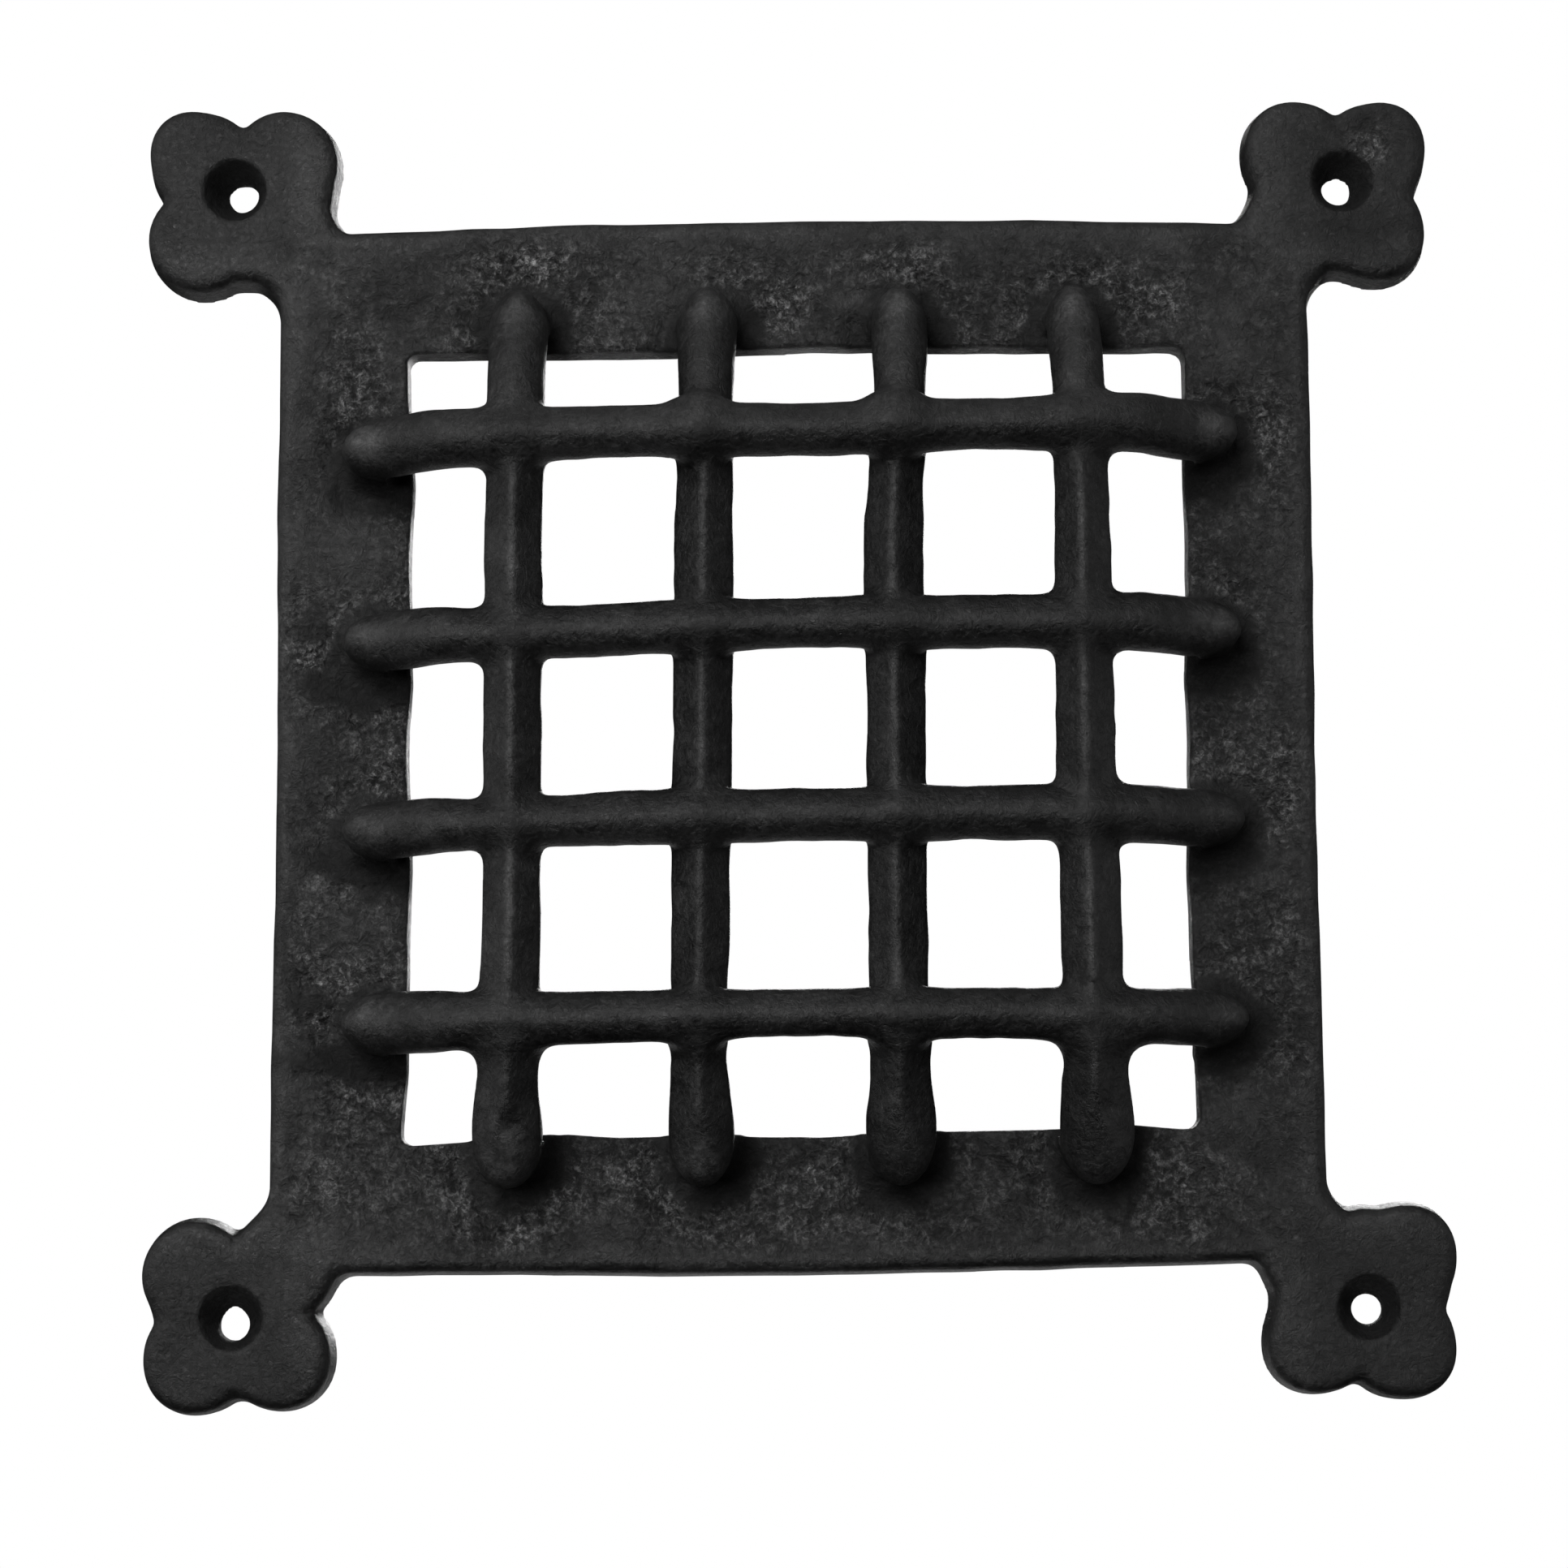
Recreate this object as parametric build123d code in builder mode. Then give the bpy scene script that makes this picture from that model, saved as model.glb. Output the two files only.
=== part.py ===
from build123d import *
from math import atan, cos, degrees, pi
import os

os.makedirs("parts", exist_ok=True)

# Speakeasy door grille: one iron casting, fixed upright over a small opening in a door.
# X runs to the right, Z up, and the front faces -Y. The back lies in the plane y = 0, and the
# origin is at the middle of the frame. All sizes are in millimetres.

# Frame plate, with the outer edges of its front sloped off
frame_width = 183.0
frame_height = 184.0
plate_depth = 7.5
edge_slope_width = 1.2
edge_slope_depth = 2.0

# The window sits a little right of and above the middle of the frame
window_width = 137.6
window_height = 138.6
window_shift_right = 0.5
window_shift_up = 0.6
window_corner_round = 1.5

# Corner quatrefoils: four round lobes about a centre just outside the frame's corner, the
# innermost one lost in the frame
foil_past_side = 5.2
foil_past_top = 5.8
foil_centre_across = frame_width / 2 + foil_past_side
foil_centre_up = frame_height / 2 + foil_past_top
lobe_radius = 10.0
lobe_offset = 7.1
notch_round = 2.0
neck_round = 3.0

# Screw holes, one in each quatrefoil and a little outside its centre, each with a deep countersink
hole_past_centre_across = 1.3
hole_past_centre_up = 1.2
hole_spacing_across = 2 * (foil_centre_across + hole_past_centre_across)
hole_spacing_up = 2 * (foil_centre_up + hole_past_centre_up)
hole_diameter = 5.2
sink_diameter = 11.3
sink_angle = 60.0

# Bars: where the two ends of each one stand, a little uneven as in the hand-made pattern.
# Cross bars give their heights from left to right, uprights their distances from low to high.
cross_bar_ends = ((51.0, 52.3), (17.7, 17.5), (-14.7, -14.6), (-49.2, -48.6))
upright_ends = ((-49.2, -48.0), (-16.5, -15.6), (17.3, 18.3), (50.3, 49.1))
landing_left = 10.0
landing_right = 9.0
landing_below = 7.5
landing_above = 9.7
cross_bar_radius = 4.5
upright_radius = 4.9

# Sections: the sides of a cross bar, and an upright's soft gable in front of its round back,
# as half a section's points by their distance from the middle and out of the door
bar_sides = 12
upright_section = ((0.9, 4.7), (1.9, 4.0), (4.3, 1.2), (4.9, 0.0), (4.6, -1.8), (3.4, -3.5), (1.3, -4.7))

# How far the bars' ends stand from the middle of the frame, past the window's edges
reach_left = window_width / 2 - window_shift_right + landing_left
reach_right = window_width / 2 + window_shift_right + landing_right
reach_down = window_height / 2 - window_shift_up + landing_below
reach_up = window_height / 2 + window_shift_up + landing_above

# Basket: the bars climb steeply out of the frame's face and run level across the window,
# the uprights tucked in a little behind the cross bars
foot_rise = 4.4
foot_inset = 6.9
knee_inset = 21.0
knee_round = 13.0
knee_steps = 2
basket_rise = 16.4
upright_tuck = 0.9

# A bullet nose: distances past the bar's foot, and the radius at each
nose_steps = ((-7.0, 4.3), (0.0, 5.2), (5.2, 4.1), (8.3, 1.2))

# Crossings: the cross bar swells over the upright, and a fillet fills each of the four corners
knot_steps = ((-7.0, 4.1), (0.0, 5.2), (7.0, 4.1))
corner_fill = 2.2
corner_fill_depth = 5.0


def spindle(steps):
    """A many-sided solid along +Z, with the radius at each distance."""
    with BuildPart() as turned:
        for (start, radius), (end, next_radius) in zip(steps, steps[1:]):
            with BuildSketch(Plane.XY.offset(start)):
                RegularPolygon(radius, bar_sides)
            lean = atan((radius - next_radius) * cos(pi / bar_sides) / (end - start))
            extrude(amount=end - start, taper=degrees(lean))
    return turned.part


nose = spindle(nose_steps)
knot = spindle(knot_steps)


def bent_path(side_view, first, first_knee, last_knee, last):
    """A bar's centreline: two climbs and a level run, with the knees bent in short steps."""
    along = Axis((0, 0, 0), side_view.x_dir)
    with BuildLine(side_view) as line:
        Polyline(first, first_knee, last_knee, last)
        fillet(line.vertices().sort_by(along)[1:3], knee_round)
    bends = []
    for knee in line.edges().filter_by(GeomType.CIRCLE).sort_by(along):
        bends += [knee @ (step / knee_steps) for step in range(knee_steps + 1)]
    bends.sort(key=lambda point: point.dot(side_view.x_dir))
    with BuildLine() as bent:
        Polyline(line.wire() @ 0, *bends, line.wire() @ 1)
    return bent.wire()


def bowed_bar(ends, reach_before, reach_after, rise, upright):
    """One bar that stands out over the window, with a bullet nose at each end."""
    lean = (ends[1] - ends[0]) / (reach_before + reach_after)
    middle = ends[0] + lean * reach_before
    if upright:
        side_view = Plane((middle, 0, 0), x_dir=(lean, 0, 1), z_dir=(1, 0, -lean))
    else:
        side_view = Plane((0, 0, middle), x_dir=(1, 0, lean), z_dir=(lean, 0, -1))
    foot = plate_depth + foot_rise
    path = bent_path(
        side_view,
        (foot_inset - reach_before, foot),
        (knee_inset - reach_before, foot + rise),
        (reach_after - knee_inset, foot + rise),
        (reach_after - foot_inset, foot),
    )
    first = Plane(path @ 0, x_dir=-side_view.z_dir, z_dir=path % 0)
    last = Plane(path @ 1, x_dir=-side_view.z_dir, z_dir=path % 1)
    with BuildPart() as bar:
        with BuildSketch(first):
            if upright:
                other_half = [(-across, out) for across, out in reversed(upright_section)]
                Polygon(*upright_section, *other_half, align=None)
            else:
                RegularPolygon(cross_bar_radius, bar_sides)
        sweep(path=path, transition=Transition.RIGHT)
    backwards = Plane(first.origin, x_dir=first.x_dir, z_dir=-first.z_dir)
    return [bar.part, nose.moved(backwards.location), nose.moved(last.location)]


def crossing(across, up):
    """The swelling of a cross bar over an upright, and the fillets in the crossing's corners."""
    out = plate_depth + foot_rise + basket_rise
    arm_across = upright_radius + corner_fill
    arm_up = cross_bar_radius + corner_fill
    quarter = [(arm_across, cross_bar_radius), (upright_radius, arm_up)]
    upper_left = [(-x, y) for x, y in reversed(quarter)]
    lower_half = [(-x, -y) for x, y in quarter + upper_left]
    with BuildPart() as fills:
        with BuildSketch(Plane.XZ.offset(out - upright_tuck / 2)):
            with Locations((across, up)):
                Polygon(*quarter, *upper_left, *lower_half, align=None)
        extrude(amount=corner_fill_depth / 2, both=True)
    along_cross_bar = Plane((across, -out, up), x_dir=(0, 0, 1), z_dir=(1, 0, 0))
    return [fills.part, knot.moved(along_cross_bar.location)]


basket = []
for ends in cross_bar_ends:
    basket += bowed_bar(ends, reach_left, reach_right, basket_rise, False)
for ends in upright_ends:
    rise = basket_rise - upright_tuck
    basket += bowed_bar(ends, reach_down, reach_up, rise, True)
for left, right in cross_bar_ends:
    for low, high in upright_ends:
        basket += crossing((low + high) / 2, (left + right) / 2)

with BuildPart() as grille:
    # The plate, with a quatrefoil on each corner
    with BuildSketch(Plane.XZ) as outline:
        Rectangle(frame_width, frame_height)
        with GridLocations(2 * foil_centre_across, 2 * foil_centre_up, 2, 2):
            Circle(lobe_offset)
            with GridLocations(2 * lobe_offset, 2 * lobe_offset, 2, 2):
                Circle(lobe_radius)
        necks = []
        notches = []
        for corner in outline.vertices():
            from_centre = (abs(corner.X), abs(corner.Y))
            if min(abs(from_centre[0] - frame_width / 2), abs(from_centre[1] - frame_height / 2)) < 0.01:
                necks.append(corner)
            if min(abs(from_centre[0] - foil_centre_across), abs(from_centre[1] - foil_centre_up)) < 0.01:
                notches.append(corner)
        fillet(necks, neck_round)
        fillet(notches, notch_round)
    extrude(amount=plate_depth)
    front = grille.faces().sort_by(Axis.Y)[0]
    chamfer(front.edges(), edge_slope_width, edge_slope_depth, reference=front)

    # The window
    with BuildSketch(Plane.XZ.offset(plate_depth)):
        with Locations((window_shift_right, window_shift_up)):
            RectangleRounded(window_width, window_height, window_corner_round)
    extrude(amount=-plate_depth, mode=Mode.SUBTRACT)

    # The screw holes
    with Locations(Plane.XZ.offset(plate_depth)):
        with GridLocations(hole_spacing_across, hole_spacing_up, 2, 2):
            CounterSinkHole(hole_diameter / 2, sink_diameter / 2, plate_depth, sink_angle)

    # The basket of bars
    add(basket)

grille.part.label = "grille"
export_step(grille.part, "parts/grille.step")
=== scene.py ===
import itertools
import math
from collections import namedtuple

import bmesh
import bpy
import numpy as np
import openvdb
from mathutils import Matrix, Vector


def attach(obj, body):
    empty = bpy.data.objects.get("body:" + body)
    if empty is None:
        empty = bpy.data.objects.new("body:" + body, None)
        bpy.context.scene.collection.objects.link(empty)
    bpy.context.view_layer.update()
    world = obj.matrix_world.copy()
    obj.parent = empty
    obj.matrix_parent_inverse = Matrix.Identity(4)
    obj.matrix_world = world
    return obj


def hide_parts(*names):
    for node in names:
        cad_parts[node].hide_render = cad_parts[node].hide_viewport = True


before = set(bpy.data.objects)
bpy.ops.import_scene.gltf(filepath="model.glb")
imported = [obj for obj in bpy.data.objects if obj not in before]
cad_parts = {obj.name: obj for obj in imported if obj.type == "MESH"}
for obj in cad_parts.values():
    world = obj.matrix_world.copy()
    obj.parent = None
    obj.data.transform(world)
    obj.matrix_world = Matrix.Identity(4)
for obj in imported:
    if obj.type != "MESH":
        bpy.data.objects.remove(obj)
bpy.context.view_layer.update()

# The casting is shaped as a field of distances to its surface, sampled on a grid. The field's
# axes are X, Z and the height out of the door, which is -Y. Its sizes are in millimetres. It
# reaches a margin beyond the casting, and a few cells behind it. Where nothing is near, the
# distance is given as far.
MM = 0.001
CELL = 0.55
HALF_ACROSS = 114.0
HALF_UP = 115.2
TOP = 34.4
MARGIN = 3.0
CELLS_BEHIND = 3
FAR = 9.0
TRIANGLES = 190000

# Noise repeats after this many cells, and is shifted so that the casting lies inside it
NOISE_CELLS = 32
NOISE_SHIFT = 1000.0

# Plate: its depth, how much its outer sides lean, and how round its edges and corners are
PLATE = 7.5
DRAFT = 0.9
FRAME_EDGE = 2.0
WINDOW_EDGE = 0.8
FRAME_CORNER = 1.0
WINDOW_CORNER = 2.0

# The uneven sides of the frame and the window: places along each side, and where it stands there
FRAME_LEFT = (
    (-92, -92.1), (-57, -92.05), (-34, -91.7), (-22, -91.25), (11, -91.1), (40, -91.2),
    (64, -90.8), (92, -90.5),
)
FRAME_RIGHT = (
    (-92, 92.0), (-57, 92.05), (-30, 91.8), (-3, 91.6), (11, 91.95), (45, 92.1), (92, 92.0),
)
FRAME_TOP = (
    (-92, 91.6), (-62, 92.4), (-40, 93.1), (2, 93.55), (43, 93.4), (66, 92.75), (92, 92.3),
)
FRAME_BOTTOM = (
    (-92, -92.1), (-62, -92.25), (-40, -92.4), (-24, -92.8), (10, -92.75), (43, -92.2),
    (61, -91.75), (92, -91.2),
)
WINDOW_LEFT = (
    (-70, -68.8), (-66, -68.6), (-57, -67.85), (-36, -67.65), (-22, -67.2), (-12, -67.4),
    (-3, -67.7), (4, -67.65), (11, -67.1), (22, -67.2), (31, -67.35), (38, -67.0), (47, -66.7),
    (60, -67.4), (70, -67.6),
)
WINDOW_RIGHT = (
    (-66, 69.5), (-57, 69.4), (-36, 68.9), (-22, 68.6), (-12, 68.9), (0, 69.1), (11, 68.8),
    (20, 69.2), (38, 69.5), (45, 69.2), (64, 69.35),
)
WINDOW_TOP = (
    (-70, 69.3), (-24, 69.2), (-10, 69.7), (3, 70.15), (12, 70.0), (30, 69.65), (70, 69.4),
)
WINDOW_BOTTOM = (
    (-66, -69.7), (-58, -69.2), (-40, -67.95), (-31, -68.65), (-20, -68.5), (3, -68.9),
    (10, -68.55), (29, -68.05), (43, -67.85), (58, -67.3), (66, -67.9),
)

# Each ear: its middle, then its lobes and the low places between them as circles about that
EARS = (
    (-96.7, 97.8, (
        (-7.0, 6.2, 9.9), (-10.1, 9.4, 6.9), (7.1, 6.1, 10.2), (-7.2, -7.4, 10.2),
        (7.1, -7.1, 10.0), (11.9, 0.4, 4.3), (0.7, -11.4, 4.3),
    )),
    (96.7, 97.8, (
        (-6.4, 6.6, 9.9), (-8.4, 9.0, 7.0), (6.8, 6.2, 9.9), (9.4, 9.1, 7.0), (6.2, -7.0, 10.0),
        (8.5, -9.3, 7.4), (-7.1, -7.1, 10.0), (-0.2, -11.2, 4.3), (-10.7, -0.6, 4.0),
        (10.8, 1.0, 4.0),
    )),
    (-96.7, -97.8, (
        (-7.5, 6.1, 10.0), (-7.0, -7.8, 10.1), (-9.2, -10.4, 7.2), (6.4, -7.4, 10.0),
        (8.3, -9.5, 7.4), (7.1, 7.1, 10.0), (-11.4, 0.2, 4.0), (0.0, -11.1, 4.0),
    )),
    (96.7, -97.8, (
        (7.4, 6.8, 10.1), (9.6, 9.2, 7.3), (6.8, -7.1, 10.1), (9.4, -9.6, 7.3),
        (-6.6, -6.1, 10.0), (-9.0, -8.5, 7.4), (-7.1, 7.1, 10.0), (1.0, 12.0, 4.5),
        (11.6, 1.0, 4.3), (-11.0, 0.0, 4.2),
    )),
)
LOBE_MELT = 1.6
NECK_MELT = 4.0

# Screw holes: the sinks' middles, sizes and slope, and how far off its sink's middle each
# through hole was drilled
HOLE_CENTRE = (98.0, 99.0)
HOLE_RADIUS = 2.6
SINK_RADIUS = 5.65
SINK_SLOPE = (0.87, 0.49)
HOLE_MELT = 0.4
OFF_CENTRE = {
    (-1, 1): (1.1, -0.4),
    (1, 1): (-0.6, -0.9),
    (-1, -1): (0.1, -1.4),
    (1, -1): (0.4, -0.4),
}

# A gable along the front of a bar: how flat the round behind it is, how broad its ridge is, how
# much its slopes fall across and out, how far out it stands as a share of the radius, how softly
# it melts into the round, and where it fades out towards the bar's last and its first end
Gable = namedtuple("Gable", "flat ridge across out stand melt last_fade first_fade")

# A set of bars. Each bar has where its first and its last end stand, the first at the left or
# below, then at each of the set's places how far it strays from the straight line and its
# radius. A set also has its bars' reach to either side of the middle, their height across the
# window, how each end climbs to it as distance in from the tip and height there, how much they
# rise and swell at a crossing, their gable, and how far each one's ridge lies to one side.
BarSet = namedtuple("BarSet", "bars places reach height climbs rise swell gable ridge_shifts")

CROSS_CLIMB = ((0.2, 13.0), (6.0, 14.0), (11.5, 17.2), (16.5, 22.2), (23.0, 25.0), (44.0, 27.5))
CROSS = BarSet(
    bars=(
        (51.0, 52.3, (-0.1, 0.0, -0.3, 0.0, -0.4, 0.3, 0.6, 0.75, 0.7),
         (5.3, 5.2, 4.95, 4.5, 4.65, 4.5, 4.95, 5.15, 5.3)),
        (17.7, 17.5, (-0.4, -0.55, -0.95, -0.35, 0.45, 0.5, 0.6, 0.85, 0.8),
         (5.1, 4.95, 4.5, 4.6, 4.4, 4.6, 4.9, 5.0, 5.2)),
        (-14.7, -14.6, (-0.9, -0.9, -0.85, -0.2, -0.1, 0.1, 0.0, -0.15, 0.0),
         (5.1, 4.9, 4.2, 4.65, 4.55, 4.7, 4.9, 4.9, 5.1)),
        (-49.2, -48.6, (0.4, 0.35, 0.4, 0.55, 0.8, 0.35, -0.3, -0.5, -0.45),
         (5.4, 5.3, 4.3, 4.5, 4.05, 4.4, 4.7, 4.8, 5.0)),
    ),
    places=(-74, -62, -52, -30, 2, 34, 52, 62, 74),
    reach=(78.3, 77.6),
    height=28.4,
    climbs=(CROSS_CLIMB, CROSS_CLIMB),
    rise=0.35,
    swell=0.45,
    gable=Gable(1.0, 1.3, 0.74, 0.67, 0.98, 1.5, (56.0, 12.0), (56.0, 12.0)),
    ridge_shifts=(0.5, 0.5, 0.5, 0.5),
)
UPRIGHTS = BarSet(
    bars=(
        (-49.2, -48.0, (-0.5, -0.45, -0.3, -0.05, 0.5, 0.45, 0.5, 0.7, 0.6),
         (6.0, 5.95, 5.5, 5.2, 5.0, 5.15, 5.05, 5.05, 5.15)),
        (-16.5, -15.6, (0.0, -0.05, -0.35, -0.4, -0.1, 0.35, 0.55, 0.9, 1.2),
         (5.7, 5.6, 5.1, 4.75, 5.1, 5.2, 5.15, 4.55, 5.4)),
        (17.3, 18.3, (0.1, 0.1, 0.0, -0.05, -0.4, -0.45, -0.7, 0.4, 0.6),
         (6.0, 5.95, 5.5, 5.1, 5.1, 5.2, 5.25, 4.4, 5.0)),
        (50.3, 49.1, (0.6, 0.5, 0.25, 0.25, 0.0, -0.2, 0.25, 0.1, 0.1),
         (6.4, 6.4, 5.85, 5.35, 5.4, 5.15, 5.0, 4.5, 4.8)),
    ),
    places=(-72, -66, -61, -56, -31, 1, 33, 58, 74),
    reach=(76.4, 79.0),
    height=25.4,
    climbs=(
        ((0.2, 13.6), (5.0, 16.2), (11.5, 20.2), (17.0, 22.8), (24.0, 24.2), (44.0, 25.0)),
        ((0.2, 13.2), (6.0, 14.2), (11.5, 17.2), (16.5, 20.6), (23.0, 23.0), (44.0, 24.8)),
    ),
    rise=-1.5,
    swell=0.0,
    gable=Gable(0.93, 0.3, 0.77, 0.64, 0.755, 0.7, (44.0, 8.0), (62.0, 10.0)),
    ridge_shifts=(-0.1, 0.0, 0.5, 0.6),
)
KNOT_SPREAD = 5.5
GABLE_DROP = 2.0

# A bar's middle line is cut at its corners this often, then stepped in even points. What is
# given by tables along it is evened over this many of them.
CORNER_CUTS = 4
PATH_POINTS = 420
EVENED_OVER = 17

# Bullet noses: how far from the tip a bar narrows across and out, and how full the curve is.
# Each goes straight down into the plate between these distances from the tip.
NOSE_ACROSS = 9.5
NOSE_OUT = 5.0
NOSE_FULLNESS = 2.2
NOSE_THINNEST = 0.05
NOSE_FOOT_MIDDLE = 3.8
NOSE_FOOT_HALF = 3.4
NOSE_FOOT_TOP = 12.8
NOSE_MELT = 1.5

# How far to either side a bar is worked out
BAR_SPACE = 14.0

# The feet as lines on the plate begin this far in from the tips and end at the window. Their
# dark side faces down and a little to the right.
FOOT_INSET = 5.0
FOOT_ENDS = (-68.0, 69.0)
FOOT_RADIUS = 5.2
DARK_SIDE = (0.35, 0.94)
FOOT_REACH = 6.0
HOLLOW_DEPTH = 1.1

# The lower feet of the uprights, where the casting is more melted together, lie below this
LOWER_FEET = 50.0

# The top cross bar's humps over the two middle uprights: place, height out and size
HUMPS = ((-16.0, 52.5, 27.6, 5.0), (17.6, 53.2, 27.6, 5.2))
HUMP_MELT = 3.0

# Dents near the lower ends of the outer uprights: place, size and depth
DENTS = ((-48.4, -66.6, 1.7, 0.8), (52.4, -64.6, 1.6, 0.7))

# Painted shadows at the left ends of the cross bars, below and beside their noses: place, half
# width, half height and strength
PAINTED_SHADOWS = (
    (-75.0, 44.6, 7.0, 3.4, 1.0),
    (-78.5, 10.2, 8.0, 4.0, 0.85),
    (-84.5, 21.0, 3.0, 4.0, 0.7),
    (-80.0, -19.8, 5.0, 1.8, 1.0),
    (-74.0, -21.4, 6.0, 2.6, 1.0),
    (-84.5, -44.6, 4.2, 2.0, 0.8),
    (-82.5, -54.4, 6.5, 2.0, 0.9),
    (-74.0, -55.6, 6.5, 2.8, 1.0),
)

# The rough, light patch on the upper right ear, and how strong the painted highlight along each
# upright's ridge is
PATCH = (103.0, 105.0, 4.5)
RIDGE_HIGHLIGHT = (0.4, 0.15, 0.2, 0.3)


def lattice_noise(points, size, seed):
    """Smooth noise of about -1 to 1 at each point, with one random value per cell of that size."""
    random = np.random.default_rng(seed)
    table = random.uniform(-1.0, 1.0, (NOISE_CELLS,) * 3).astype(np.float32)
    scaled = points / size + NOISE_SHIFT
    base = np.floor(scaled).astype(np.int64)
    part = scaled - base
    part = part * part * (3.0 - 2.0 * part)
    total = np.zeros(len(points))
    for corner in itertools.product((0, 1), repeat=3):
        shares = [side if step else 1.0 - side for side, step in zip(part.T, corner)]
        cell = tuple((base + np.array(corner)).T % NOISE_CELLS)
        total += shares[0] * shares[1] * shares[2] * table[cell]
    return total


def plane_noise(across, up, size, seed):
    """The same noise over a grid of X and Z."""
    x, z = np.broadcast_arrays(across, up)
    points = np.stack([x.ravel(), z.ravel(), np.zeros(x.size)], 1)
    return lattice_noise(points, size, seed).reshape(x.shape)


def smooth_min(a, b, width):
    """The nearer of two surfaces, rounded where they meet."""
    part = np.clip(0.5 + 0.5 * (b - a) / width, 0.0, 1.0)
    return b * (1.0 - part) + a * part - width * part * (1.0 - part)


def smooth_max(a, b, width):
    """What two surfaces share, rounded where they meet."""
    return -smooth_min(-a, -b, width)


def rounded_edge(a, b, radius):
    """The further of two distances, with the edge between their surfaces rounded."""
    a = a + radius
    b = b + radius
    inside = np.minimum(np.maximum(a, b), 0.0)
    return inside + np.hypot(np.maximum(a, 0.0), np.maximum(b, 0.0)) - radius


def fade(value, start, width):
    """0 up to the start, 1 from that width further on, and straight in between."""
    return np.clip((value - start) / width, 0.0, 1.0)


def bell(distance, width):
    """1 in the middle, falling away smoothly to both sides."""
    return np.exp(-((distance / width) ** 2))


def round_bell(across, up, width):
    """The same around a point of the plane."""
    return np.exp(-(across ** 2 + up ** 2) / width ** 2)


steps_x = np.arange(-HALF_ACROSS - MARGIN, HALF_ACROSS + MARGIN, CELL)
steps_z = np.arange(-HALF_UP - MARGIN, HALF_UP + MARGIN, CELL)
steps_out = np.arange(-CELLS_BEHIND * CELL, TOP + MARGIN, CELL)
plan_x = steps_x[:, None]
plan_z = steps_z[None, :]
out = steps_out[None, None, :]


def plate_noise(size, seed):
    """The same noise over the whole plan."""
    return plane_noise(plan_x, plan_z, size, seed)


def uneven_box(left, right, bottom, top, corner):
    """Distance in the plane to a box with round corners, from the tables of its sides."""
    low_x, high_x = (np.interp(steps_z, *zip(*side))[None, :] for side in (left, right))
    low_z, high_z = (np.interp(steps_x, *zip(*side))[:, None] for side in (bottom, top))
    across = np.maximum(low_x - plan_x, plan_x - high_x)
    up = np.maximum(low_z - plan_z, plan_z - high_z)
    return rounded_edge(across, up, corner)


# Outline of the frame with its ears. The necks' fillets differ a little between their two sides.
outline = uneven_box(FRAME_LEFT, FRAME_RIGHT, FRAME_BOTTOM, FRAME_TOP, FRAME_CORNER)
neck = NECK_MELT - np.clip((abs(plan_z) - abs(plan_x)) / 6.0, -1.0, 1.0)
for ear_x, ear_z, circles in EARS:
    foil = None
    for circle_x, circle_z, radius in circles:
        lobe = np.hypot(plan_x - ear_x - circle_x, plan_z - ear_z - circle_z) - radius
        foil = lobe if foil is None else smooth_min(foil, lobe, LOBE_MELT)
    outline = smooth_min(outline, foil, neck)
outline = outline + 0.1 * plate_noise(7.0, 2)

window = uneven_box(WINDOW_LEFT, WINDOW_RIGHT, WINDOW_BOTTOM, WINDOW_TOP, WINDOW_CORNER)
window = window + 0.12 * plate_noise(5.0, 4)


def feet_of(bar_set):
    """Each foot of a set, from near its tip to the window, as places along and across the bars."""
    for first, last, strays, _ in bar_set.bars:
        yield (-bar_set.reach[0] + FOOT_INSET, first + strays[0]), (FOOT_ENDS[0], first + strays[1])
        yield (bar_set.reach[1] - FOOT_INSET, last + strays[-1]), (FOOT_ENDS[1], last + strays[-2])


FEET = [(*tip, *end) for tip, end in feet_of(CROSS)]
FEET += [(*tip[::-1], *end[::-1]) for tip, end in feet_of(UPRIGHTS)]


def foot_distance(x, z):
    """How far a place on the plate is outside the nearest foot, and how much on its dark side."""
    best = np.full(np.broadcast(x, z).shape, 1e9)
    shade = np.zeros(best.shape)
    for x0, z0, x1, z1 in FEET:
        run = (x1 - x0, z1 - z0)
        part = ((x - x0) * run[0] + (z - z0) * run[1]) / (run[0] ** 2 + run[1] ** 2)
        part = np.clip(part, 0.0, 1.0)
        dx = x - x0 - part * run[0]
        dz = z - z0 - part * run[1]
        distance = np.hypot(dx, dz) + 1e-6
        closer = distance < best
        best = np.where(closer, distance, best)
        shade = np.where(closer, (DARK_SIDE[0] * dx - DARK_SIDE[1] * dz) / distance, shade)
    return best - FOOT_RADIUS, 0.5 + 0.5 * shade


# The plate's front: lumps of several sizes, some of them slanting, calmer towards the ears and
# rougher near the feet, with a hollow around each foot
from_foot, foot_shade = foot_distance(plan_x, plan_z)
near_foot = np.exp(-np.maximum(from_foot, 0.0) / FOOT_REACH)
hollows = bell(from_foot - 1.6 - 1.6 * foot_shade, 2.8 + 1.8 * foot_shade)
hollows = hollows * (0.4 + 1.1 * foot_shade)
slant_x = 0.8 * plan_x + 0.6 * plan_z
slant_z = (0.8 * plan_z - 0.6 * plan_x) * 0.35
lumps = (
    0.45 * plate_noise(14.0, 5)
    + 0.38 * plate_noise(7.0, 6)
    + 0.34 * plane_noise(slant_x, slant_z, 3.4, 8)
    + 0.16 * plate_noise(2.2, 7)
)
calm = np.clip((96.0 - np.maximum(abs(plan_x), abs(plan_z))) / 10.0, 0.35, 1.0)
lumps = lumps * calm - HOLLOW_DEPTH * hollows
lumps = lumps + near_foot * (0.50 * plate_noise(4.0, 9) + 0.30 * plate_noise(2.0, 10))

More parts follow.
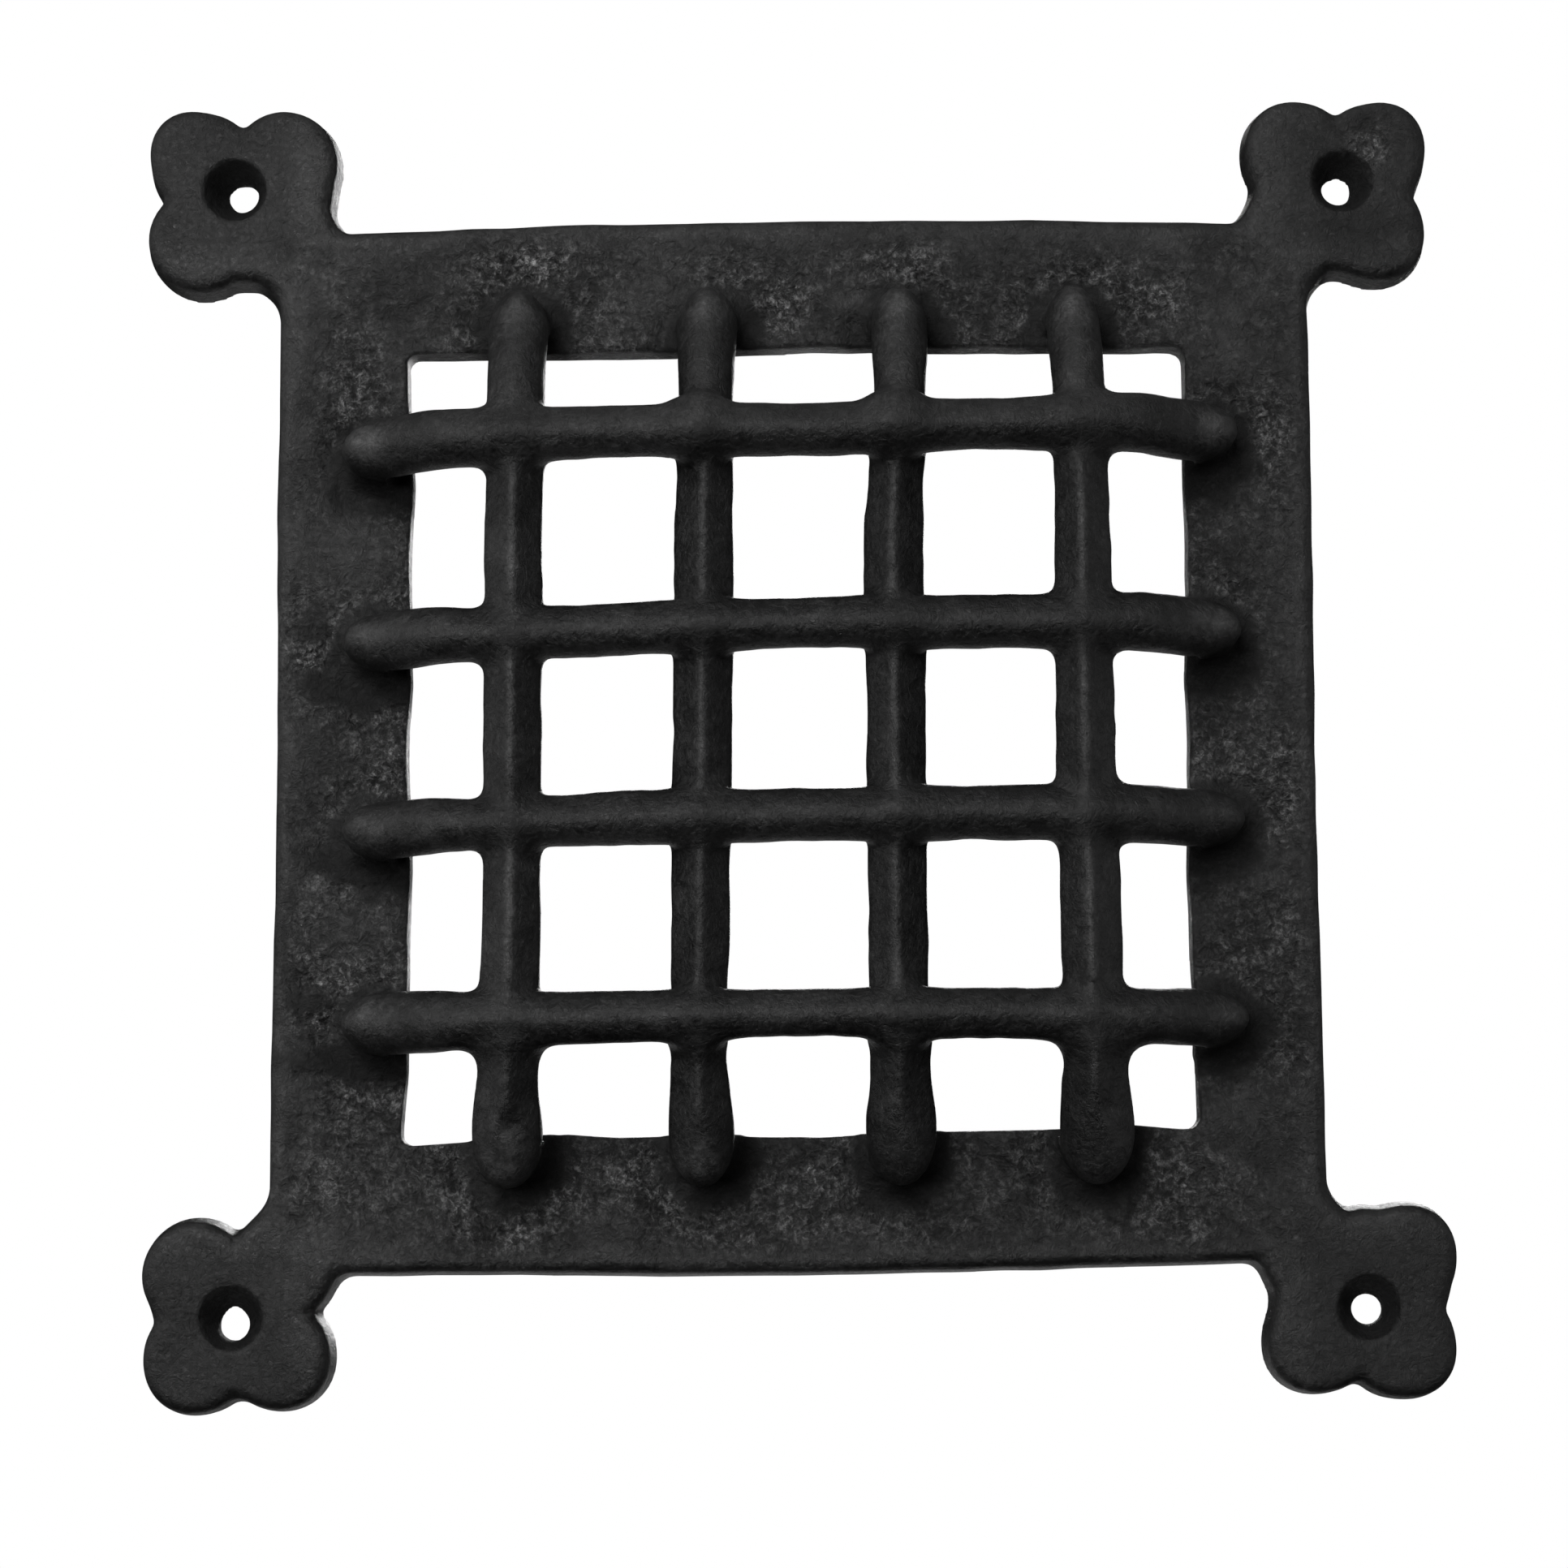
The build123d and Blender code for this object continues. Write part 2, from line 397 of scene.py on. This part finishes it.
draft = DRAFT * np.clip(out / PLATE, 0.0, 1.0)
front = out - PLATE - lumps[:, :, None]
field = np.maximum(
    rounded_edge(outline[:, :, None] + draft, front, FRAME_EDGE),
    rounded_edge(-window[:, :, None], front, WINDOW_EDGE),
).astype(np.float32)


def bar_line(bar_set):
    """Even points along a bar's middle, as distance along and height, and their distances."""
    corners = [(inset - bar_set.reach[0], level) for inset, level in bar_set.climbs[0]]
    corners += [(0.0, bar_set.height)]
    corners += [(bar_set.reach[1] - inset, level) for inset, level in reversed(bar_set.climbs[1])]
    line = np.array(corners)
    for _ in range(CORNER_CUTS):
        cut = np.empty((2 * len(line), 2))
        cut[0], cut[-1] = line[0], line[-1]
        cut[1:-1:2] = line[:-1] * 0.75 + line[1:] * 0.25
        cut[2:-1:2] = line[:-1] * 0.25 + line[1:] * 0.75
        line = cut
    lengths = np.r_[0.0, np.cumsum(np.hypot(*np.diff(line, axis=0).T))]
    steps = np.linspace(0.0, lengths[-1], PATH_POINTS)
    return np.stack([np.interp(steps, lengths, line[:, axis]) for axis in (0, 1)], 1), steps


def nearest_on(path, steps_along):
    """The path's nearest point to each place along and out, and how far in front of it and past
    it that place is."""
    tangent = np.gradient(path, axis=0)
    tangent /= np.linalg.norm(tangent, axis=1)[:, None]
    along, height = np.meshgrid(steps_along, steps_out, indexing="ij")
    best = np.full(along.shape, 1e9)
    nearest = np.zeros(along.shape, int)
    for index, (a, h) in enumerate(path):
        distance = (along - a) ** 2 + (height - h) ** 2
        closer = distance < best
        best[closer] = distance[closer]
        nearest[closer] = index
    off_along = along - path[nearest, 0]
    off_out = height - path[nearest, 1]
    turn = tangent[nearest]
    in_front = -off_along * turn[..., 1] + off_out * turn[..., 0]
    past = off_along * turn[..., 0] + off_out * turn[..., 1]
    return nearest, in_front, past


def evened(values):
    """Values along a bar, with their bends smoothed."""
    for _ in range(2):
        padded = np.pad(values, EVENED_OVER // 2, mode="edge")
        values = np.convolve(padded, np.ones(EVENED_OVER) / EVENED_OVER, "valid")
    return values


def bullet(from_tip, length):
    """How much of its full size a nose has at each distance from the tip."""
    left = 1.0 - np.clip(from_tip / length, 0.0, 1.0)
    return np.sqrt(np.clip(1.0 - left ** NOSE_FULLNESS, 0.0, 1.0))


def bar_field(bar_set, bar, ridge_shift, steps_along, steps_across, knots):
    """Distances to one bowed bar, over (along, across, out)."""
    first, last, strays, radii = bar
    reach, gable = bar_set.reach, bar_set.gable
    path, steps = bar_line(bar_set)
    at_knot = sum(bell(path[:, 0] - knot, KNOT_SPREAD) for knot in knots)
    path[:, 1] += bar_set.rise * at_knot
    nearest, in_front, past = nearest_on(path, steps_along)

    drift = evened(np.interp(path[:, 0], bar_set.places, strays))
    radius = evened(np.interp(path[:, 0], bar_set.places, radii)) + bar_set.swell * at_knot
    lean = (last - first) / (reach[0] + reach[1])
    centre = first + lean * (path[:, 0] + reach[0]) + drift
    from_tip = np.minimum(steps, steps[-1] - steps)
    pointed = bullet(from_tip, NOSE_ACROSS)
    blunt = bullet(from_tip, NOSE_OUT)

    across = steps_across[None, :, None] - centre[nearest][:, None, :]
    in_front = in_front[:, None, :]
    size = radius[nearest][:, None, :]
    wide = np.maximum(pointed[nearest][:, None, :], NOSE_THINNEST)
    thick = np.maximum(blunt[nearest][:, None, :], NOSE_THINNEST)
    section = np.hypot(across / wide, in_front * gable.flat / thick) - size
    slopes = np.hypot(across + ridge_shift, gable.ridge) * gable.across + in_front * gable.out
    faded = fade(steps_along, *gable.last_fade) + fade(-steps_along, *gable.first_fade)
    slopes = slopes - size * gable.stand - GABLE_DROP * faded[:, None, None]
    section = smooth_max(section, slopes, gable.melt)
    at_end = ((nearest == 0) | (nearest == len(path) - 1))[:, None, :]
    beyond = np.hypot(np.maximum(section, 0.0), past[:, None, :])
    solid = np.where(at_end, beyond, section * 0.8)

    # The nose goes straight down into the plate
    to_tip = np.minimum(steps_along + reach[0], reach[1] - steps_along)
    width = np.interp(steps_along, path[:, 0], radius * pointed)
    middle = np.interp(steps_along, path[:, 0], centre)
    foot = abs(steps_across[None, :] - middle[:, None]) - width[:, None]
    foot = np.maximum(foot, (abs(to_tip - NOSE_FOOT_MIDDLE) - NOSE_FOOT_HALF)[:, None])
    foot = np.maximum(foot[:, :, None], out - NOSE_FOOT_TOP)
    return smooth_min(solid, foot, NOSE_MELT)


def middles(bar_set):
    """Where each bar of a set stands across its length."""
    return [(first + last) / 2 for first, last, _, _ in bar_set.bars]


def add_bars(field):
    """Both sets of bars, melted together at the crossings and into the plate at their feet."""
    basket = np.full(field.shape, FAR, np.float32)
    for bar, shift, middle in zip(CROSS.bars, CROSS.ridge_shifts, middles(CROSS)):
        near = np.abs(steps_z - middle) < BAR_SPACE
        solid = bar_field(CROSS, bar, shift, steps_x, steps_z[near], middles(UPRIGHTS))
        basket[:, near, :] = np.minimum(basket[:, near, :], solid)
    for x, z, height, size in HUMPS:
        aside = (plan_x - x)[:, :, None] ** 2 + (plan_z - z)[:, :, None] ** 2
        basket = smooth_min(basket, np.sqrt(aside + (out - height) ** 2) - size, HUMP_MELT)
    web = 2.0 + 2.2 * fade(-plan_z, LOWER_FEET, 3.0)[:, :, None]
    for bar, shift, middle in zip(UPRIGHTS.bars, UPRIGHTS.ridge_shifts, middles(UPRIGHTS)):
        near = np.abs(steps_x - middle) < BAR_SPACE
        solid = bar_field(UPRIGHTS, bar, shift, steps_z, steps_x[near], middles(CROSS))
        basket[near, :, :] = smooth_min(basket[near, :, :], solid.transpose(1, 0, 2), web)

    wobble = 0.13 * plate_noise(6.0, 11) + 0.06 * plate_noise(2.6, 12)
    for x, z, size, depth in DENTS:
        wobble = wobble + depth * round_bell(plan_x - x, plan_z - z, size)
    basket = basket + wobble[:, :, None].astype(np.float32)

    # The feet flare into the plate, most on their dark side, but not past the window's edge
    flare = 1.4 + (0.6 + 2.6 * foot_shade * near_foot) * fade(window, 0.0, 3.0)
    flare = flare + 1.6 * fade(-plan_z, LOWER_FEET, 5.0) * foot_shade
    return smooth_min(field, basket, flare[:, :, None])


field = add_bars(field)
for (side_x, side_z), (shift_x, shift_z) in OFF_CENTRE.items():
    from_x = plan_x - side_x * HOLE_CENTRE[0]
    from_z = plan_z - side_z * HOLE_CENTRE[1]
    from_sink = np.hypot(from_x, from_z)[:, :, None]
    from_hole = np.hypot(from_x - shift_x, from_z - shift_z)[:, :, None]
    sink = (from_sink - SINK_RADIUS) * SINK_SLOPE[0] - SINK_SLOPE[1] * (out - PLATE)
    field = np.maximum(field, -smooth_min(sink, from_hole - HOLE_RADIUS, HOLE_MELT))

# The back is flat
field = np.maximum(field, -out).astype(np.float32)

grid = openvdb.FloatGrid(background=FAR)
grid.copyFromArray(field)
corners, quads = grid.convertToQuads(0.0)
corners = corners.astype(np.float64) * CELL + (steps_x[0], steps_z[0], steps_out[0])
points = np.stack([corners[:, 0], -corners[:, 2], corners[:, 1]], 1)

mesh = bpy.data.meshes.new("casting")
mesh.from_pydata((points * MM).tolist(), [], quads[:, ::-1].tolist())
mesh.update()
casting = bpy.data.objects.new("casting", mesh)
bpy.context.scene.collection.objects.link(casting)
reduce = casting.modifiers.new("reduce", "DECIMATE")
reduce.ratio = min(1.0, TRIANGLES / (2.0 * len(mesh.polygons)))
bpy.context.view_layer.objects.active = casting
with bpy.context.temp_override(object=casting):
    bpy.ops.object.modifier_apply(modifier="reduce")
mesh = casting.data

# Everything is smooth but the flat back, which meets the sides at a sharp edge
facing = np.empty(3 * len(mesh.polygons), np.float32)
centres = np.empty(3 * len(mesh.polygons), np.float32)
mesh.polygons.foreach_get("normal", facing)
mesh.polygons.foreach_get("center", centres)
on_back = (facing[1::3] > 0.98) & (centres[1::3] > -0.05 * MM)
mesh.polygons.foreach_set("use_smooth", ~on_back)


def painted_values(spots):
    """How coarse the paint is at each point, and how light it is painted there with painted shade
    and highlight, 0 to about 1, with light 0.5 plain.
    """
    x, z, height = spots[:, 0], spots[:, 2], -spots[:, 1]
    spread, shade = foot_distance(x, z)
    on_plate = 1.0 - fade(height - PLATE, 1.5, 1.5)
    raised = 1.0 - on_plate
    patch = round_bell(x - PATCH[0], z - PATCH[1], PATCH[2])

    # Coarsest around the feet, patchy on the plate, least on the bars
    coarse = 0.42 + 0.55 * np.exp(-np.maximum(spread - 2.0, 0.0) / 8.0)
    coarse *= 1.0 + 0.8 * lattice_noise(spots, 11.0, 21)
    coarse *= np.clip((93.0 - np.maximum(abs(x), abs(z))) / 7.0, 0.5, 1.0)
    coarse = np.clip(coarse, 0.2, 1.2) * on_plate + 0.26 * raised + 0.7 * patch

    # Painted shadow, smooth and dark, below and beside the feet on their dark side, with ragged
    # edges, and a little darker on the ears
    ragged = lattice_noise(spots, 3.0, 24)
    painted_shade = np.exp(-((np.maximum(spread, 0.0) / (2.0 + 3.4 * shade + 1.2 * ragged)) ** 6))
    painted_shade *= (0.65 + 0.35 * shade) * on_plate
    # Painted shadows under and beside the left ends of the cross bars
    for shadow_x, shadow_z, half_width, half_height, strength in PAINTED_SHADOWS:
        away = np.hypot((x - shadow_x) / half_width, (z - shadow_z) / half_height) + 0.35 * ragged
        painted_shade = np.maximum(painted_shade, strength * np.clip(2.6 - 2.0 * away, 0.0, 1.0) * on_plate)
    coarse = coarse * (1.0 - 0.6 * painted_shade)
    on_ears = fade(np.minimum(abs(x), abs(z)), 86.0, 4.0)
    light = 0.5 - 0.5 * painted_shade - 0.22 * on_ears

    # Painted highlight on the noses, most on those at the left and above, which face the light
    for x0, z0, x1, z1 in FEET:
        run = np.hypot(x1 - x0, z1 - z0)
        nose_x, nose_z = x0 - (x1 - x0) / run * 0.5, z0 - (z1 - z0) / run * 0.5
        near_nose = round_bell(x - nose_x, z - nose_z, 3.0) * raised
        light = light + (0.5 if x0 - z0 < 60.0 else 0.2) * near_nose
        coarse = coarse - 0.1 * near_nose

    # Painted highlight along the uprights' ridges, but not near the cross bars
    from_cross_bars = np.min([
        abs(z - left - (right - left) * (x / sum(CROSS.reach) + 0.5))
        for left, right, _, _ in CROSS.bars
    ], axis=0)
    clear = fade(from_cross_bars, 5.0, 2.0) * (abs(z) < 60.0)
    for bar, shift, highlight in zip(UPRIGHTS.bars, UPRIGHTS.ridge_shifts, RIDGE_HIGHLIGHT):
        low, high, strays, _ = bar
        middle = low + (high - low) * (z + UPRIGHTS.reach[0]) / sum(UPRIGHTS.reach)
        middle = middle + np.interp(z, UPRIGHTS.places, strays) - shift
        light = light + highlight * bell(x - middle, 0.9) * fade(height, 28.5, 1.0) * clear

    # Lighter on the rough patch; painted shade in the sinks and at the lower right of each crossing
    light = light + 0.4 * patch * (0.6 + 0.8 * lattice_noise(spots, 2.2, 23))
    for side_x, side_z in OFF_CENTRE:
        from_sink = np.hypot(x - side_x * HOLE_CENTRE[0], z - side_z * HOLE_CENTRE[1])
        light = light - 0.4 * ((from_sink < SINK_RADIUS) & (height < PLATE - 0.6))
    for knot_x, knot_z in itertools.product(middles(UPRIGHTS), middles(CROSS)):
        light = light - 0.3 * raised * round_bell(x - knot_x - 1.2, z - knot_z + 2.2, 3.2)

    # Tone that differs at random, and a little lighter towards the left and darker towards the
    # right
    light = light + 0.05 * lattice_noise(spots, 14.0, 22) - x / 1500.0
    return {"coarse": coarse, "light": np.clip(light, 0.0, 1.0)}


flat_points = np.empty(3 * len(mesh.vertices), np.float32)
mesh.vertices.foreach_get("co", flat_points)
for name, values in painted_values(flat_points.reshape(-1, 3) / MM).items():
    layer = mesh.attributes.new(name, "FLOAT", "POINT")
    layer.data.foreach_set("value", values.astype(np.float32))


def paint():
    """Near-black satin paint over cast iron."""
    material = bpy.data.materials.new("iron")
    material.use_nodes = True
    nodes = material.node_tree.nodes
    links = material.node_tree.links
    shader = nodes["Principled BSDF"]
    shader.inputs["Specular IOR Level"].default_value = 0.5
    place = nodes.new("ShaderNodeTexCoord")

    def pattern(kind, output, **settings):
        node = nodes.new(kind)
        for name, value in settings.items():
            node.inputs[name].default_value = value
        links.new(place.outputs["Object"], node.inputs["Vector"])
        return node.outputs[output]

    def noise(scale, detail, roughness, distortion=0.0):
        return pattern(
            "ShaderNodeTexNoise", "Fac",
            Scale=scale, Detail=detail, Roughness=roughness, Distortion=distortion,
        )

    def cells(scale, roughness):
        return pattern(
            "ShaderNodeTexVoronoi", "Distance",
            Scale=scale, Randomness=1.0, Detail=1.0, Roughness=roughness,
        )

    def measured(name):
        node = nodes.new("ShaderNodeAttribute")
        node.attribute_name = name
        return node.outputs["Fac"]

    def ramp(source, *stops):
        node = nodes.new("ShaderNodeValToRGB")
        elements = node.color_ramp.elements
        while len(elements) < len(stops):
            elements.new(0.5)
        for element, (position, value) in zip(elements, stops):
            element.position = position
            element.color = (value, value, value, 1)
        links.new(source, node.inputs["Fac"])
        return node.outputs["Color"]

    def product(a, b):
        node = nodes.new("ShaderNodeMath")
        node.operation = "MULTIPLY"
        links.new(a, node.inputs[0])
        links.new(b, node.inputs[1])
        return node.outputs["Value"]

    def shaded(a, b, factor=None):
        """A colour multiplied by another, in full or by a factor."""
        node = nodes.new("ShaderNodeMix")
        node.data_type = "RGBA"
        node.blend_type = "MULTIPLY"
        node.inputs["Factor"].default_value = 1.0
        if factor:
            links.new(factor, node.inputs["Factor"])
        links.new(a, node.inputs["A"])
        links.new(b, node.inputs["B"])
        return node.outputs["Result"]

    def bump(source, distance, under=None):
        node = nodes.new("ShaderNodeBump")
        node.inputs["Strength"].default_value = 1.0
        node.inputs["Distance"].default_value = distance
        links.new(source, node.inputs["Height"])
        if under:
            links.new(under, node.inputs["Normal"])
        return node.outputs["Normal"]

    coarse = measured("coarse")
    light = measured("light")
    grain = noise(1100.0, 5.0, 0.8, 0.6)
    clumps = noise(520.0, 4.0, 0.65, 0.8)
    blotches = noise(240.0, 6.0, 0.75)
    patches = noise(70.0, 5.0, 0.6)
    pits = cells(430.0, 0.45)
    specks = cells(620.0, 0.30)

    colour = ramp(patches, (0.35, 0.009), (0.65, 0.023))
    colour = shaded(colour, ramp(coarse, (0.3, 0.8), (0.9, 2.4)))
    # Painted shade and highlight, carried by the light attribute
    colour = shaded(colour, ramp(light, (0.0, 0.15), (0.5, 1.0), (1.0, 3.2)))
    colour = shaded(colour, ramp(grain, (0.36, 0.05), (0.50, 0.9), (0.60, 3.6)), coarse)
    colour = shaded(colour, ramp(clumps, (0.36, 0.15), (0.5, 1.0), (0.64, 2.2)), coarse)
    colour = shaded(colour, ramp(blotches, (0.38, 0.5), (0.62, 1.5)))
    colour = shaded(colour, ramp(pits, (0.05, 0.0), (0.22, 1.0)), coarse)
    in_blotches = ramp(blotches, (0.50, 0.0), (0.60, 1.0))
    colour = shaded(colour, ramp(specks, (0.06, 8.0), (0.17, 1.0)), in_blotches)
    links.new(colour, shader.inputs["Base Color"])

    roughness = ramp(coarse, (0.25, 0.43), (0.6, 0.52))
    roughness = shaded(roughness, ramp(light, (0.0, 1.7), (0.5, 1.0), (1.0, 0.85)))
    roughness = shaded(roughness, ramp(grain, (0.35, 0.75), (0.65, 1.25)))
    links.new(roughness, shader.inputs["Roughness"])

    normal = bump(product(grain, ramp(coarse, (0.1, 0.25), (0.9, 1.0))), 0.00050)
    normal = bump(product(clumps, coarse), 0.00150, normal)
    normal = bump(product(ramp(pits, (0.0, 0.0), (0.3, 1.0)), coarse), 0.00040, normal)
    links.new(normal, shader.inputs["Normal"])
    return material


casting.data.materials.clear()
casting.data.materials.append(paint())
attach(casting, "root")
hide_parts("grille")

# A plain pale floor far below, which glows so that it stays pale, and lights nothing
FLOOR_HALF = 5.0
FLOOR_UP = -0.80
FLOOR_SHADE = 0.9
FLOOR_GLOW = 0.85
sheet = bmesh.new()
bmesh.ops.create_grid(sheet, x_segments=2, y_segments=2, size=FLOOR_HALF)
flat = bpy.data.meshes.new("floor")
sheet.to_mesh(flat)
sheet.free()
matte = bpy.data.materials.new("floor")
matte.use_nodes = True
finish = matte.node_tree.nodes["Principled BSDF"].inputs
finish["Base Color"].default_value = (FLOOR_SHADE, FLOOR_SHADE, FLOOR_SHADE, 1)
finish["Roughness"].default_value = 0.9
finish["Emission Color"].default_value = (1, 1, 1, 1)
finish["Emission Strength"].default_value = FLOOR_GLOW
flat.materials.append(matte)
surface = bpy.data.objects.new("floor", flat)
surface.location = (0, 0, FLOOR_UP)
surface.visible_diffuse = False
surface.visible_glossy = False
bpy.context.scene.collection.objects.link(surface)

# Soft lamps, all turned to the middle of the grille: name, place, width and height, and power
LAMPS = (
    ("key", (-0.95, -2.35, 1.45), (1.3, 1.3), 33.5),
    ("front", (-0.6, -2.25, 0.15), (1.0, 0.5), 15.0),
    ("fill", (1.3, -1.9, 0.9), (0.8, 0.8), 3.6),
    ("left", (-1.5, 0.1, 0.3), (1.2, 1.6), 4.6),
    ("right", (1.5, 0.1, 0.1), (1.2, 1.6), 2.8),
    ("top", (0.0, 0.1, 1.5), (1.6, 1.2), 2.9),
    ("behind", (0.3, 2.2, 0.45), (0.9, 0.9), 22.0),
    ("rim", (0.0, 1.1, -0.7), (1.4, 1.0), 2.4),
)
MIDDLE = Vector((0, 0, 0))
for name, place, size, power in LAMPS:
    light = bpy.data.lights.new(name, "AREA")
    light.shape = "RECTANGLE"
    light.size, light.size_y = size
    light.energy = power
    lamp = bpy.data.objects.new(name, light)
    lamp.location = place
    lamp.rotation_euler = (MIDDLE - Vector(place)).to_track_quat("-Z", "Y").to_euler()
    bpy.context.scene.collection.objects.link(lamp)

# White surroundings that only the camera sees, so that they don't light the iron
world = bpy.data.worlds.new("studio")
bpy.context.scene.world = world
world.use_nodes = True
background = world.node_tree.nodes["Background"].inputs
background["Color"].default_value = (1, 1, 1, 1)
background["Strength"].default_value = 1.0
world.cycles_visibility.diffuse = False
world.cycles_visibility.glossy = False
bpy.context.scene.view_settings.view_transform = "Standard"

# Camera, as worked out from the photograph: its focal length in pixels of the photograph's
# width, how far it looks up, how far it is rolled and turned, in radians, and where it stands
FOCAL_PIXELS = 4864.0
PHOTO_PIXELS = 1932.0
SENSOR_WIDTH = 36.0
TILT_UP = 0.098
ROLL = -0.003
TURN = -0.009
CAMERA_PLACE = (-0.003974, -0.6921, -0.0748)
lens = bpy.data.cameras.new("camera")
lens.sensor_width = SENSOR_WIDTH
lens.lens = FOCAL_PIXELS / PHOTO_PIXELS * SENSOR_WIDTH
lens.clip_start = 0.01
camera = bpy.data.objects.new("camera", lens)
facing_up = Matrix.Rotation(math.radians(90) + TILT_UP, 4, "X")
facing_up = facing_up @ Matrix.Rotation(ROLL, 4, "Y") @ Matrix.Rotation(TURN, 4, "Z")
camera.matrix_world = Matrix.Translation(CAMERA_PLACE) @ facing_up
bpy.context.scene.collection.objects.link(camera)
bpy.context.scene.camera = camera
